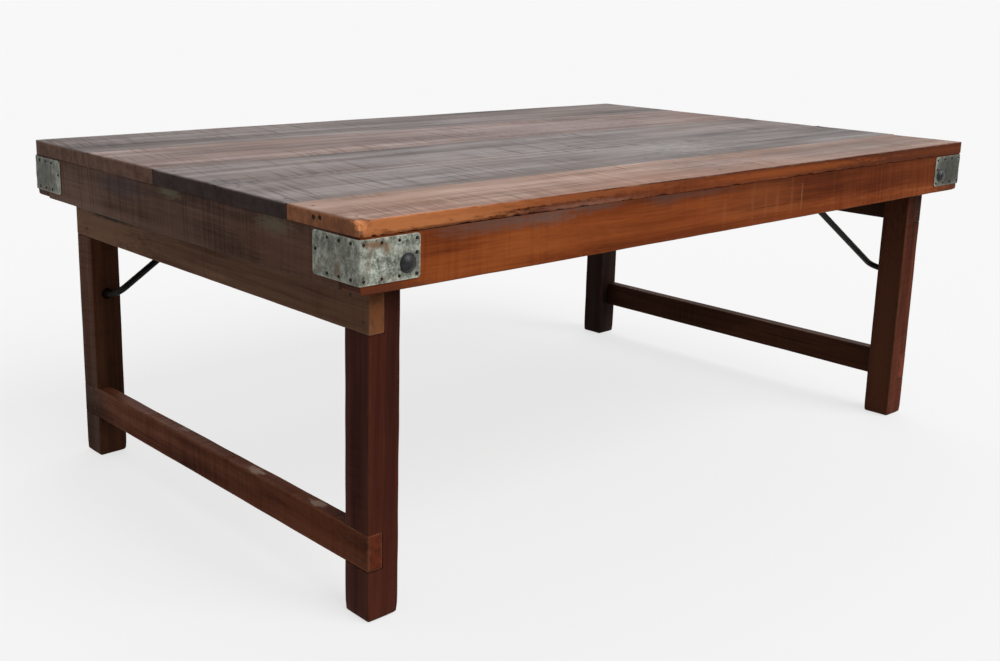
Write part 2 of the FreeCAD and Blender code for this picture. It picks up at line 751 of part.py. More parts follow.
def build_fasteners():
    doc.recompute()
    plate_nail = make_plate_nail()
    hands = (("front_left", 1), ("back_left", -1), ("front_right", -1), ("back_right", 1))
    for corner, sign in hands:
        make_plate_nails("plate_nails_" + corner, "corner_plate_" + corner, sign, plate_nail)
    make_deck_nails(make_cut_nail("deck_nail", "deck_nail_length", "-cut_nail_set"))
    make_batten_nails(make_cut_nail("batten_nail", "batten_nail_length", "cut_nail_stand"))
    lap_nail = make_cut_nail("lap_nail", "lap_nail_length", "cut_nail_stand")
    make_lap_nails("lap_nails_left", "frame_shift - pivot_x - leg_depth / 2", -1, lap_nail)
    make_lap_nails("lap_nails_right", "frame_shift + pivot_x + leg_depth / 2", 1, lap_nail)
    make_group("pivot_bolts", make_bolt(), pivot_spots("bolt_seat"))
    make_group("pivot_washers", make_washer(), pivot_spots("nut_washer_seat"))
    make_group("pivot_nuts", make_nut(), pivot_spots("nut_seat"))


def write_parts():
    doc.recompute()
    for item in doc.Objects:
        if "Invalid" in item.State or "Error" in item.State:
            raise ValueError("%s did not compute" % item.Label)
    os.makedirs("parts", exist_ok=True)
    for node in nodes:
        shape = node.Shape
        if shape.isNull() or not shape.isValid() or not shape.Solids:
            raise ValueError("%s has no sound solid" % node.Label)
        shape.exportStep("parts/%s.step" % node.Label)
        print("%-26s %3d solid(s) %10.0f mm3" % (node.Label, len(shape.Solids), shape.Volume))
    print("%d parts written" % len(nodes))


fill_sheet()
build_top()
build_leg_frames()
build_stays()
build_fasteners()
write_parts()
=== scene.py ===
"""Looks of the folding coffee table: worn old boards, galvanised plates and black iron."""

import math

import bpy
import numpy as np
from mathutils import Matrix, Vector, noise


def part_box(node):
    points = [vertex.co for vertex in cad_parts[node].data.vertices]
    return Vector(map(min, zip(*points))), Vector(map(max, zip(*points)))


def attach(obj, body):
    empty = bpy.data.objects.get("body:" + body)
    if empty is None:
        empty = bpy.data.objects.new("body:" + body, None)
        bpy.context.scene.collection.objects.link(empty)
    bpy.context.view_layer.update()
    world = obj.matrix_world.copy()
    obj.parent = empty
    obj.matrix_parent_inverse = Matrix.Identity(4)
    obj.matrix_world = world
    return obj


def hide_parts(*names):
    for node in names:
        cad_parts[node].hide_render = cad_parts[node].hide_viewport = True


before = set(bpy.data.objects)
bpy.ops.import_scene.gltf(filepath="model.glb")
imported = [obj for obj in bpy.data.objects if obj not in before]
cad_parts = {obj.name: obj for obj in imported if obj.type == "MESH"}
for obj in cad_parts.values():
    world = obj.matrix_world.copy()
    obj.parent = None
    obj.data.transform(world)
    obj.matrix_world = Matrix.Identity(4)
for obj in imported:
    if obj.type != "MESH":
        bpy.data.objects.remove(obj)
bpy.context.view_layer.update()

MM = 0.001
AXES = "xyz"
ENDS = ("left", "right")
ROWS = ("front", "back")
NICK_SEED, INNER_SEED, LEG_SEED, RAIL_SEED = 7, 21, 31, 41
PLATE_SEED, NAIL_SEED, BOLT_SEED = 51, 61, 71


# Shapes

EDGE_ANGLES = (45, 30, 15)
LINE_SPACE = 0.3 * MM
SHARP_ANGLE = math.radians(40)
RUBBED_WIDTH = 9 * MM
EDGE_SPAN = 1.6
WEAR_WAVES = (22, 22, 22)
DIP_WAVES, DIP_SEED = (7, 7, 7), 5
BITE_WAVES, BITE_RAGGED, BITE_FILL = (170, 170, 170), 0.55, 1.4
HEAD_WAVES = (260, 260, 260)
FACING_UP = 0.5


def mm(*values):
    """Numbers, or rows of numbers, in millimetres, as metres."""
    return np.array(values, float) * MM


def rumple(points, scale, seed):
    """Smooth noise from -1 to 1 at each point; scale is in waves per metre, per axis."""
    shift = Vector((seed * 1.37, seed * 2.11, seed * 0.73))
    scaled = points * np.asarray(scale, float)
    return np.array([noise.noise(Vector(p) + shift) for p in scaled])


def grid_lines(low, high, step, edge, extra=()):
    """Lines from low to high: close together within edge of both ends, step apart between.

    A line that lies too close to an extra one is left out."""
    near = [edge * (1 - math.tan(math.radians(a))) for a in EDGE_ANGLES]
    count = max(2, round((high - low - 2 * edge) / step) + 1)
    lines = [low + n for n in near] + [high - n for n in near]
    lines += list(np.linspace(low + edge, high - edge, count))
    lines = [v for v in lines
             if all(abs(v - e) > LINE_SPACE for e in extra) or v in (low, high)]
    return np.array(sorted(lines + list(extra)))


def lattice(lines, solid=None):
    """Points and outward quads of the boundary of a grid's cells, those that solid() keeps."""
    middles = [(a[1:] + a[:-1]) / 2 for a in lines]
    cells = np.ones([len(m) for m in middles], bool)
    if solid is not None:
        cells &= solid(*np.meshgrid(*middles, indexing="ij"))
    cells = np.pad(cells, 1)
    shape = [len(a) for a in lines]
    quads = []
    for axis in range(3):
        one, two = (axis + 1) % 3, (axis + 2) % 3
        before = np.take(cells, range(shape[axis]), axis)
        after = np.take(cells, range(1, shape[axis] + 1), axis)
        for outward, found in ((True, before & ~after), (False, after & ~before)):
            base = np.argwhere(found)
            for skipped in (one, two):
                base[:, skipped] -= 1
            corners = []
            for a, b in ((0, 0), (1, 0), (1, 1), (0, 1)):
                corner = base.copy()
                corner[:, one] += a
                corner[:, two] += b
                corners.append(np.ravel_multi_index(corner.T, shape))
            quads.append(np.stack(corners if outward else corners[::-1], 1))
    quads = np.concatenate(quads)
    used, packed = np.unique(quads, return_inverse=True)
    index = np.unravel_index(used, shape)
    points = np.stack([lines[a][index[a]] for a in range(3)], 1)
    return points, packed.reshape(quads.shape)


def round_edges(points, low, high, radius):
    """Rounds a box's edges by radius, one for each point; gives the outward directions too."""
    reach = radius[:, None]
    inner = np.clip(points, low + reach, high - reach)
    away = points - inner
    length = np.linalg.norm(away, axis=1, keepdims=True)
    outward = np.divide(away, length, out=np.zeros_like(away), where=length > 1e-9)
    return inner + outward * np.minimum(length, reach), outward


def edge_closeness(points, low, high, width):
    """1 on a box's edges, falling to 0 at width from them."""
    gaps = np.sort(np.minimum(points - low, high - points), axis=1)
    return np.clip(1 - gaps[:, 1] / width, 0, 1)


def round_corner(points, first, second, corner, inward, radius):
    """Rounds the corner, in the plane of two axes, that lies at corner and opens inward."""
    offset = (points[:, [first, second]] - corner) * inward - radius
    outside = np.all(offset < 0, axis=1)
    length = np.linalg.norm(offset, axis=1)
    turn = outside & (length > radius)
    offset[turn] *= (radius / length[turn])[:, None]
    points[turn[:, None] & np.isin(range(3), (first, second))] = (
        (offset[turn] + radius) * inward + corner)[:, np.argsort((first, second))].ravel()


def bite(points, centre, reach, move, seed):
    """Pushes the points within reach of centre along move, unevenly; gives how far, 0 to 1."""
    gap = np.linalg.norm((points - centre) / reach, axis=1)
    near = gap < 1
    share = np.zeros(len(points))
    ragged = 1 + BITE_RAGGED * rumple(points[near], BITE_WAVES, seed)
    share[near] = np.clip((1 - gap[near] ** 2) * BITE_FILL * ragged, 0, 1)
    points += share[:, None] * move
    return share


def lathe(profile, sides):
    """Points and faces of a turned shape along Z from its top; profile is (radius, height) rows.

    The first and the last row are on the axis."""
    turns = np.arange(sides) * 2 * math.pi / sides
    ring = np.stack([np.cos(turns), np.sin(turns)], 1)
    rows = [np.array([[0, 0, profile[0][1]]])]
    rows += [np.column_stack([ring * r, np.full(sides, h)]) for r, h in profile[1:-1]]
    rows.append(np.array([[0, 0, profile[-1][1]]]))
    last = 1 + sides * (len(profile) - 2)
    faces = []
    for i in range(sides):
        j = (i + 1) % sides
        faces.append([0, 1 + i, 1 + j])
        faces += [[a + i, a + sides + i, a + sides + j, a + j]
                  for a in range(1, last - sides, sides)]
        faces.append([last - sides + j, last - sides + i, last])
    return np.concatenate(rows), faces


def join(parts):
    """One set of points and faces out of several."""
    points, faces, count = [], [], 0
    for some, joined in parts:
        points.append(some)
        faces += [[i + count for i in face] for face in joined]
        count += len(some)
    return np.concatenate(points), faces


def new_object(name, points, faces, marks=None):
    """A new mesh in the scene; marks are values for each point, by name."""
    mesh = bpy.data.meshes.new(name)
    mesh.from_pydata(points.tolist(), [], faces)
    for key, values in (marks or {}).items():
        mark = mesh.attributes.new(key, "FLOAT", "POINT")
        mark.data.foreach_set("value", values.astype(np.float32))
    mesh.shade_smooth()
    mesh.set_sharp_from_angle(angle=SHARP_ANGLE)
    piece = bpy.data.objects.new(name, mesh)
    bpy.context.scene.collection.objects.link(piece)
    return piece


def dress(piece, node, body, material):
    """Puts a new piece in a CAD node's place, on its body and in its material slot."""
    piece.data.materials.append(material)
    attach(piece, body)
    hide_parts(node)


def make_board(node, body, material, seed, steps, ease=2.0, wander=0.5, extra=None,
               solid=None, sharper=None, reshape=None, bites=(), flanks=None):
    """A worn board in the place of a CAD node; steps are the grid's, along X, Y and Z.

    ease is the edges' radius and wander how deep the faces dip, all in millimetres. extra has
    more grid lines, by axis, and solid says which of the grid's cells are there. sharper gives the
    share of the edge's wear that each point has, and of its drift along Y. reshape moves the
    points, bites are rows of centre, reach, move and how bare the wood is there, and flanks is
    another material for all but the top."""
    low, high = (np.array(corner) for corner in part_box(node))
    extra = extra or {}
    lines = [grid_lines(low[a], high[a], steps[a] * MM, EDGE_SPAN * ease * MM,
                        extra.get(AXES[a], ())) for a in range(3)]
    points, quads = lattice(lines, solid)
    closeness = edge_closeness(points, low, high, RUBBED_WIDTH)
    share = np.ones(len(points)) if sharper is None else sharper(points)
    closeness *= np.minimum(share, 1)
    worn = share * ease * MM * (1 + 0.5 * rumple(points, WEAR_WAVES, seed))
    points, outward = round_edges(points, low, high, worn)
    dip = 0.5 + 0.5 * rumple(points, DIP_WAVES, DIP_SEED)
    drift = outward * (dip * wander * MM)[:, None]
    drift[:, 1] *= share
    points -= drift
    if reshape is not None:
        reshape(points, low, high)
    raw = np.zeros(len(points))
    for number, (centre, reach, move, bare) in enumerate(bites):
        taken = bite(points, mm(*centre), mm(*reach), mm(*move), seed + number)
        raw = np.maximum(raw, bare * taken)
    piece = new_object("worn_" + node, points, quads.tolist(), {"edge": closeness, "raw": raw})
    dress(piece, node, body, material)
    if flanks is not None:
        piece.data.materials.append(flanks)
        for face in piece.data.polygons:
            face.material_index = 0 if face.normal.z > FACING_UP else 1


def islands(node):
    """Lowest and highest corners of each separate solid of a CAD node."""
    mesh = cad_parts[node].data
    points = np.array([v.co for v in mesh.vertices])
    root = list(range(len(points)))

    def find(i):
        while root[i] != i:
            root[i] = root[root[i]]
            i = root[i]
        return i

    same = {}
    for i, point in enumerate(np.round(points, 6).tolist()):
        root[find(i)] = find(same.setdefault(tuple(point), i))
    for edge in mesh.edges:
        root[find(edge.vertices[0])] = find(edge.vertices[1])
    groups = {}
    for i in range(len(points)):
        groups.setdefault(find(i), []).append(i)
    return [(points[group].min(0), points[group].max(0)) for group in groups.values()]


def driven(node, profile, sides, uneven, seed):
    """A turned shape for each solid of a node, its top outwards along the solid's longest side.

    The part above zero, the head, is uneven."""
    parts = []
    for number, (low, high) in enumerate(islands(node)):
        axis = int(np.argmax(high - low))
        outward = np.sign((low + high)[axis])
        outer = high[axis] if outward > 0 else low[axis]
        points, faces = lathe(profile, sides)
        head = points[:, 2] >= 0
        lumps = uneven * rumple(points[head], HEAD_WAVES, seed + 11 * number)
        points[head] *= 1 + lumps[:, None]
        first, second = (axis + 1) % 3, (axis + 2) % 3
        placed = np.empty_like(points)
        placed[:, axis] = outer + outward * (points[:, 2] - points[:, 2].max())
        placed[:, first] = (low + high)[first] / 2 + points[:, 0]
        placed[:, second] = (low + high)[second] / 2 + outward * points[:, 1]
        parts.append((placed, faces))
    return join(parts)


# Materials

BUMP = 0.6


def tone(red, green, blue):
    """A colour written as it shows on a screen, 0 to 255, as the shader's linear one."""
    def linear(value):
        v = value / 255
        return v / 12.92 if v <= 0.04045 else ((v + 0.055) / 1.055) ** 2.4
    return (linear(red), linear(green), linear(blue), 1.0)


def add_node(tree, kind, inputs, **settings):
    """A shader node with its inputs, by number or name, linked or set."""
    made = tree.nodes.new("ShaderNode" + kind)
    for key, setting in settings.items():
        setattr(made, key, setting)
    for key, given in inputs.items():
        if isinstance(given, bpy.types.NodeSocket):
            tree.links.new(given, made.inputs[key])
        else:
            made.inputs[key].default_value = given
    return made


class Shade:
    """One procedural material on the object's own coordinates, in metres."""

    def __init__(self, name, gloss, metallic=0.0):
        self.material = bpy.data.materials.new(name)
        self.material.use_nodes = True
        self.tree = self.material.node_tree
        self.surface = self.tree.nodes["Principled BSDF"]
        self.surface.inputs["Specular IOR Level"].default_value = gloss
        self.surface.inputs["Metallic"].default_value = metallic
        source = self.tree.nodes.new("ShaderNodeTexCoord")
        self.place, self.normal = source.outputs["Object"], source.outputs["Normal"]

    def add(self, kind, inputs, output=0, **settings):
        """A node of this material; gives one of its outputs."""
        return add_node(self.tree, kind, inputs, **settings).outputs[output]

    def math(self, operation, first, second=0.0, third=0.0):
        return self.add("Math", {0: first, 1: second, 2: third}, operation=operation)

    def vector(self, operation, first, second=(0, 0, 0), output=0):
        return self.add("VectorMath", {0: first, 1: second}, output, operation=operation)

    def band(self, value, low, high):
        """0 below low, 1 above high, smooth between."""
        return self.add("MapRange", {0: value, 1: low, 2: high}, interpolation_type="SMOOTHSTEP")

    def mix(self, share, first, second):
        """Two colours blended; share is the second's part."""
        return self.add("Mix", {0: share, 6: first, 7: second}, 2, data_type="RGBA")

    def ramp(self, value, stops):
        """A colour for each value; stops are rows of value and colour."""
        made = self.tree.nodes.new("ShaderNodeValToRGB")
        for _ in stops[2:]:
            made.color_ramp.elements.new(0.5)
        for element, (at, colour) in zip(made.color_ramp.elements, stops):
            element.position = at
            element.color = colour
        self.tree.links.new(value, made.inputs[0])
        return made.outputs[0]

    def noise(self, place, scale, detail=3.0, roughness=0.55, output=0):
        """Noise with its own scale on each axis, in waves per metre."""
        spread = self.vector("MULTIPLY", place, scale)
        return self.add("TexNoise", {"Vector": spread, "Scale": 1.0, "Detail": detail,
                                     "Roughness": roughness}, output)

    def mark(self, name):
        """What the mesh carries at each point under a name."""
        return self.add("Attribute", {}, "Fac", attribute_name=name)

    def spot(self, centre, reach, ragged, soft):
        """A ragged patch round a place on the object, 1 inside and 0 outside."""
        away = self.vector("SUBTRACT", self.place, tuple(mm(*centre)))
        away = self.vector("DIVIDE", away, tuple(mm(*reach)))
        inside = self.math("SUBTRACT", 1.0, self.vector("LENGTH", away, output="Value"))
        inside = self.math("MULTIPLY_ADD", self.math("SUBTRACT", ragged, 0.5), 1.6, inside)
        return self.band(inside, 0.0, soft)

    def paint(self, colour, spots, ragged):
        """Lays patches over a colour: rows of centre, reach, tone, strength and softness."""
        for centre, reach, paint, amount, soft in spots:
            inside = self.spot(centre, reach, ragged, soft)
            colour = self.mix(self.math("MULTIPLY", inside, amount), colour, tone(*paint))
        return colour

    def finish(self, colour, roughness, height, relief=0.5):
        """Links what the surface shows; relief is the height of its bumps, in millimetres."""
        bump = self.add("Bump", {"Height": height, "Strength": BUMP, "Distance": relief * MM})
        for name, socket in (("Base Color", colour), ("Roughness", roughness), ("Normal", bump)):
            self.tree.links.new(socket, self.surface.inputs[name])
        return self.material


def wood(name, grain, seed, dark, mid, light, worn, end, raw=(170, 105, 60), gloss=0.12,
         roughness=0.62, wax=0.3, saw=0.35, saw_tone=(150, 125, 105), wear=0.5, cracks=0.8,
         stain=None, tilt=0.1, spread=0.0, spots=()):
    """Old waxed board: grain along one axis, saw marks across it, cracks, stains and worn edges.

    wax is how far the roughness falls and rises between rubbed and dull places, stain is the hue
    of its large cloudy patches, tilt the lean of the saw marks, in radians, spread how far they go
    beyond their patches, and spots are patches of other colours."""
    shade = Shade(name, gloss=gloss)
    axis = AXES.index(grain)

    def along(lengthwise, across):
        return tuple(lengthwise if a == axis else across for a in range(3))

    place = shade.vector("ADD", shade.place, (seed * 3.1, seed * 5.3, seed * 7.7))
    sway = shade.noise(place, along(2.2, 7.0), 2.0, output=1)
    sway = shade.vector("SUBTRACT", sway, (0.5, 0.5, 0.5))
    bent = shade.vector("ADD", place, shade.vector("MULTIPLY", sway, (0.014, 0.014, 0.014)))
    figure = shade.noise(bent, along(1.5, 48.0), 4.0)
    fibre = shade.noise(bent, along(9.0, 430.0), 3.0, 0.65)
    blotch = shade.noise(place, along(3.0, 9.0), 4.0, 0.6)
    fleck = shade.noise(place, along(60.0, 260.0), 4.0, 0.7)
    depth = shade.math("MULTIPLY", figure, 0.42)
    depth = shade.math("MULTIPLY_ADD", fibre, 0.2, depth)
    depth = shade.math("MULTIPLY_ADD", blotch, 0.5, depth)
    colour = shade.ramp(depth, [(0.42, tone(*dark)), (0.56, tone(*mid)), (0.70, tone(*light))])

    cloud = shade.band(shade.noise(place, along(3.2, 8.0), 3.0), 0.44, 0.62)
    if stain:
        colour = shade.mix(shade.math("MULTIPLY", cloud, 0.6), colour, tone(*stain))

    skew = shade.vector("ADD", place, shade.vector("MULTIPLY", sway, (0.02, 0.02, 0.02)))
    skew = shade.add("Mapping", {"Vector": skew, "Rotation": (tilt, tilt, tilt)})
    cut = shade.noise(skew, along(210.0, 7.0), 2.0, 0.6)
    patch = shade.band(shade.noise(place, along(4.0, 9.0), 2.0), 0.4 - spread, 0.62 - spread)
    sawn = shade.math("MULTIPLY", shade.band(cut, 0.5, 0.66), patch)
    colour = shade.mix(shade.math("MULTIPLY", sawn, saw), colour, tone(*saw_tone))
    notch = shade.math("MULTIPLY", shade.band(cut, 0.48, 0.36), patch)
    colour = shade.mix(shade.math("MULTIPLY", notch, saw), colour, tone(*dark))

    crack = shade.band(shade.noise(bent, along(2.4, 170.0), 2.0), 0.69, 0.75)
    deep = tone(*(c * 0.35 for c in dark))
    colour = shade.mix(shade.math("MULTIPLY", crack, cracks), colour, deep)

    facing = shade.add("SeparateXYZ", {0: shade.normal}, axis)
    cut_end = shade.band(shade.math("ABSOLUTE", facing), 0.6, 0.85)
    rings = shade.noise(bent, along(12.0, 95.0), 3.0, 0.6)
    end_colour = shade.ramp(rings, [(0.35, tone(*(c * 0.78 for c in end))), (0.62, tone(*end))])
    colour = shade.mix(cut_end, colour, end_colour)

    rub = shade.math("MULTIPLY_ADD", shade.math("SUBTRACT", fleck, 0.5), 1.3, shade.mark("edge"))
    rub = shade.math("MULTIPLY", shade.band(rub, 0.62, 1.0), wear)
    colour = shade.mix(rub, colour, tone(*worn))

    colour = shade.paint(colour, spots, fleck)
    fresh = shade.math("MULTIPLY_ADD", shade.math("SUBTRACT", fleck, 0.5), 0.8, shade.mark("raw"))
    fresh = shade.band(fresh, 0.25, 0.5)
    colour = shade.mix(fresh, colour, tone(*raw))

    height = shade.math("MULTIPLY_ADD", cut, saw, shade.math("MULTIPLY", fibre, 0.5))
    height = shade.math("MULTIPLY_ADD", crack, -0.9, height)
    height = shade.math("MULTIPLY_ADD", figure, 0.8, height)
    dull = shade.math("ADD", shade.math("MULTIPLY_ADD", fibre, 0.5, figure), blotch)
    dull = shade.math("MULTIPLY_ADD", shade.math("SUBTRACT", dull, 1.25), -1.6 * wax, roughness)
    dull = shade.math("MULTIPLY_ADD", notch, 0.5 * wax, dull)
    return shade.finish(colour, shade.math("MAXIMUM", dull, 0.2), height)


def plate_metal(name, seed, spots=()):
    """Old galvanised sheet: mottled grey-green, rust in places, rubbed bright along the rim."""
    shade = Shade(name, gloss=0.3, metallic=0.25)
    place = shade.vector("ADD", shade.place, (seed * 1.9, seed * 4.7, seed * 2.3))
    mottle = shade.noise(place, (120, 120, 90), 5.0, 0.65)
    cloud = shade.noise(place, (45, 45, 35), 3.0)
    pits = shade.noise(place, (420, 420, 420), 3.0, 0.7)
    depth = shade.math("MULTIPLY_ADD", mottle, 0.55, shade.math("MULTIPLY", cloud, 0.2))
    depth = shade.math("MULTIPLY_ADD", pits, 0.4, depth)
    colour = shade.ramp(depth, [(0.45, tone(62, 63, 53)), (0.56, tone(118, 122, 110)),
                                (0.69, tone(186, 190, 178))])
    rust = shade.band(shade.math("MULTIPLY_ADD", pits, 0.35, cloud), 0.74, 0.86)
    colour = shade.mix(shade.math("MULTIPLY", rust, 0.75), colour, tone(96, 58, 32))
    dirt = shade.band(pits, 0.62, 0.74)
    colour = shade.mix(shade.math("MULTIPLY", dirt, 0.5), colour, tone(58, 58, 50))
    rim = shade.math("MULTIPLY_ADD", shade.math("SUBTRACT", mottle, 0.5), 1.0, shade.mark("edge"))
    colour = shade.mix(shade.math("MULTIPLY", shade.band(rim, 0.6, 1.0), 0.4), colour,
                       tone(196, 194, 182))
    colour = shade.paint(colour, spots, pits)
    dull = shade.math("MULTIPLY_ADD", mottle, 0.3, 0.42)
    height = shade.math("MULTIPLY_ADD", pits, 0.4, mottle)
    return shade.finish(colour, dull, height, 0.6)


def iron(name, dark, light, roughness, metallic, scale, gloss=0.15):
    """Black iron with a worn, slightly pitted skin."""
    shade = Shade(name, gloss=gloss, metallic=metallic)
    patch = shade.noise(shade.place, (scale, scale, scale), 4.0, 0.6)
    pits = shade.noise(shade.place, (900, 900, 900), 3.0, 0.7)
    depth = shade.math("MULTIPLY_ADD", pits, 0.35, shade.math("MULTIPLY", patch, 0.7))
    colour = shade.ramp(depth, [(0.4, tone(*dark)), (0.68, tone(*light))])
    dull = shade.math("MULTIPLY_ADD", patch, 0.3, roughness - 0.15)
    return shade.finish(colour, dull, shade.math("MULTIPLY_ADD", patch, 0.6, pits), 0.25)


# Deck
# Patches, bites and the faces that they lie on are in millimetres.

DECK_LOWER, DECK_MIDDLE, DECK_UPPER = 438, 447, 456
DECK_FRONT, DECK_LEFT = -378, -606
PLAN_ROUND = 9 * MM
TOP_SKIN = 3 * MM
PLANED_WIDTH = 25 * MM
PIT_RIM, PIT_WALL, PIT_DEPTH = 0.25 * MM, 0.15 * MM, 0.4 * MM
EDGE_ZONE, JOINT_ZONE = 4 * MM, 3 * MM
END_WEAR, SIDE_WEAR, LOWER_SHARE, JOINT_WEAR = 1.3, 0.7, 0.15, 0.06


def plan_corners(side):
    """Rounds the outer corners of the first or last plank, seen from above."""
    def reshape(points, low, high):
        y = low[1] if side < 0 else high[1]
        for x, inward in ((low[0], 1), (high[0], -1)):
            round_corner(points, 0, 1, np.array([x, y]), np.array([inward, -side]), PLAN_ROUND)
    return reshape


def make_plank(number, step, tones, side_tones=None, bites=(), spots=(), side=0, dull=0.54,
               saw=0.34):
    """One deck plank, with a square pit over each of its nails; side is -1 or 1 for an outer one.

    dull is the roughness of its waxed top."""
    node = "deck_plank_%d" % number
    low, high = (np.array(corner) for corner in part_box(node))
    pits = [(a, b) for a, b in islands("deck_nails") if low[1] < (a + b)[1] / 2 < high[1]]
    extra = {"x": set(), "y": set()}
    for a, b in pits:
        for name, axis in (("x", 0), ("y", 1)):
            before, after = a[axis] - PIT_RIM, b[axis] + PIT_RIM
            for line in (before - PIT_WALL, before, after, after + PIT_WALL):
                extra[name].add(round(float(line), 6))
    joints = [(edge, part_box("deck_plank_%d" % next_one)[1][2])
              for edge, next_one, outer in ((low[1], number - 1, -1), (high[1], number + 1, 1))
              if side != outer]
    around = plan_corners(side) if side else None

    def reshape(points, low, high):
        """Planes the top level with its neighbours' at the joints, and opens the nail pits."""
        top = points[:, 2] > high[2] - TOP_SKIN
        for edge, level in joints:
            near = np.clip(1 - abs(points[:, 1] - edge) / PLANED_WIDTH, 0, 1) ** 2
            points[top, 2] += near[top] * (level - high[2]) / 2
        margin = PIT_RIM + PIT_WALL / 2
        for a, b in pits:
            inside = top & np.all((points[:, :2] > a[:2] - margin)
                                  & (points[:, :2] < b[:2] + margin), axis=1)
            points[inside, 2] = b[2] - PIT_DEPTH
        if around:
            around(points, low, high)

    def butted(points):
        """The ends are worn most, the lower edges and those at the next plank hardly."""
        from_end = np.minimum(points[:, 0] - low[0], high[0] - points[:, 0])
        share = np.where(from_end < EDGE_ZONE, END_WEAR, SIDE_WEAR)
        share[points[:, 2] < low[2] + EDGE_ZONE] *= LOWER_SHARE
        for edge, _ in joints:
            share[abs(points[:, 1] - edge) < JOINT_ZONE] = JOINT_WEAR
        return share

    waxed = wood(node + "_top", "x", number, gloss=0.16, roughness=dull, wax=0.25, saw=saw,
                 wear=0.3, cracks=0.35, tilt=0.22, spots=spots, **tones)
    dry = wood(node + "_sides", "x", number, gloss=0.05, roughness=0.65, wax=0.2, saw=0.2,
               wear=0.35, cracks=0.6, spots=spots, **(side_tones or tones))
    make_board(node, "top", waxed, number, (step, 12, 7), ease=2.3, wander=0.8,
               extra={key: sorted(lines) for key, lines in extra.items()}, sharper=butted,
               reshape=reshape, bites=bites, flanks=dry)


def nicks(draw, count, run, level, size, depth, bare):
    """Small chips along the front edge at one level, each with its own size and depth."""
    made = []
    for _ in range(count):
        long = draw.uniform(*size)
        deep = draw.uniform(0.4, 1.0) * depth
        up = 1 if level < DECK_MIDDLE else -1
        made.append(((draw.uniform(*run), DECK_FRONT, level), (long, 2.5 + deep, 1.5 + 1.3 * deep),
                     (draw.uniform(-0.5, 0.5), 0.7 * deep, 0.8 * deep * up), bare))
    return made


# The worn corner shows bare wood, and the lower edge is worn back level with the apron.
draw = np.random.default_rng(NICK_SEED)
WORN_CORNER = ((DECK_LEFT, DECK_FRONT, DECK_UPPER), (15, 8, 9), (4, 4, -4), 1.0)
WORN_LOWER_EDGE = ((-290, DECK_FRONT, DECK_LOWER), (230, 6, 12), (0, 1.5, 0), 0.0)
P1_BITES = [WORN_CORNER, WORN_LOWER_EDGE]
P1_BITES += nicks(draw, 34, (-590, -200), DECK_LOWER, (2, 8), 0.9, 0.3)
P1_BITES += nicks(draw, 12, (-200, 590), DECK_LOWER, (5, 14), 0.8, 0.1)
P1_BITES += nicks(draw, 14, (-590, 590), DECK_UPPER, (8, 24), 0.7, 0.3)
P1_SPOTS = [((-520, DECK_FRONT, 449), (200, 5, 16), (192, 120, 72), 0.75, 0.6),
            ((-330, DECK_FRONT, 451), (260, 5, 7), (152, 86, 49), 0.65, 0.6),
            ((-490, DECK_FRONT, 439), (120, 5, 3.5), (62, 34, 22), 0.7, 0.8),
            ((380, -310, 456), (430, 95, 12), (86, 61, 48), 0.85, 0.9),
            ((-500, -310, 456), (140, 70, 12), (152, 112, 86), 0.4, 0.9),
            # Painted shade: this patch darkens the middle of the first plank's top, where it shows
            # less sheen.
            ((10, -315, 462), (150, 85, 16), (68, 42, 30), 0.6, 0.9),
            ((60, DECK_FRONT, 447), (360, 5, 16), (106, 50, 26), 0.55, 0.8),
            ((-290, DECK_FRONT, 440), (150, 5, 8), (136, 92, 74), 0.8, 0.9),
            ((460, DECK_FRONT, 447), (460, 5, 26), (76, 34, 14), 0.85, 0.5),
            ((130, DECK_FRONT, 447), (300, 5, 7), (150, 78, 36), 0.6, 0.8),
            ((520, DECK_FRONT, 447), (220, 5, 6), (112, 56, 28), 0.5, 0.8),
            ((20, DECK_FRONT, 455), (640, 2.6, 2.0), (52, 25, 14), 0.75, 0.6),
            ((DECK_LEFT, -301, 448), (5, 3.6, 3.6), (24, 16, 13), 0.95, 0.4),
            ((DECK_LEFT, -312, 449), (5, 3.2, 3.2), (24, 16, 13), 0.95, 0.4),
            ((DECK_LEFT, -352, 446), (5, 26, 14), (112, 70, 50), 0.5, 0.6)]
SEAM = [((-150, -109, 456.5), (430, 2.0, 3), (168, 158, 152), 0.6, 0.5)]
# After the seam line, each list holds one broad painted patch on the top: painted sheen, lighter,
# on planks 2, 4 and 5, and painted shade, darker, at the left end of plank 3.
P2_SEAM_AND_SHEEN = SEAM + [((150, -181, 462), (150, 85, 16), (146, 138, 136), 0.55, 0.9)]
P3_SEAM_AND_SHADE = SEAM + [((-560, -37, 464), (150, 95, 13), (30, 24, 22), 0.6, 0.9)]
P4_PAINTED_SHEEN = [((130, 121, 462), (320, 110, 16), (150, 130, 126), 0.55, 0.9)]
P5_PAINTED_SHEEN = [((130, 290, 462), (180, 100, 16), (122, 108, 106), 0.5, 0.9)]

make_plank(1, 3,
           dict(dark=(86, 58, 44), mid=(124, 86, 64), light=(152, 112, 86), worn=(140, 92, 64),
                end=(156, 102, 72), raw=(190, 120, 74), saw_tone=(160, 128, 108),
                stain=(132, 84, 58)),
           dict(dark=(66, 30, 15), mid=(112, 56, 29), light=(140, 78, 44), worn=(128, 74, 46),
                end=(156, 102, 72), raw=(196, 126, 80), saw_tone=(140, 86, 56)),
           P1_BITES, P1_SPOTS, side=-1, dull=0.51, saw=0.42)
make_plank(2, 8,
           dict(dark=(55, 46, 44), mid=(77, 65, 62), light=(98, 85, 81), worn=(76, 66, 62),
                end=(64, 51, 47), saw_tone=(102, 93, 91), stain=(86, 66, 58)), spots=P2_SEAM_AND_SHEEN)
make_plank(3, 8,
           dict(dark=(55, 46, 44), mid=(78, 66, 63), light=(100, 87, 83), worn=(78, 68, 63),
                end=(64, 51, 47), saw_tone=(104, 95, 92), stain=(88, 67, 59)), spots=P3_SEAM_AND_SHADE)
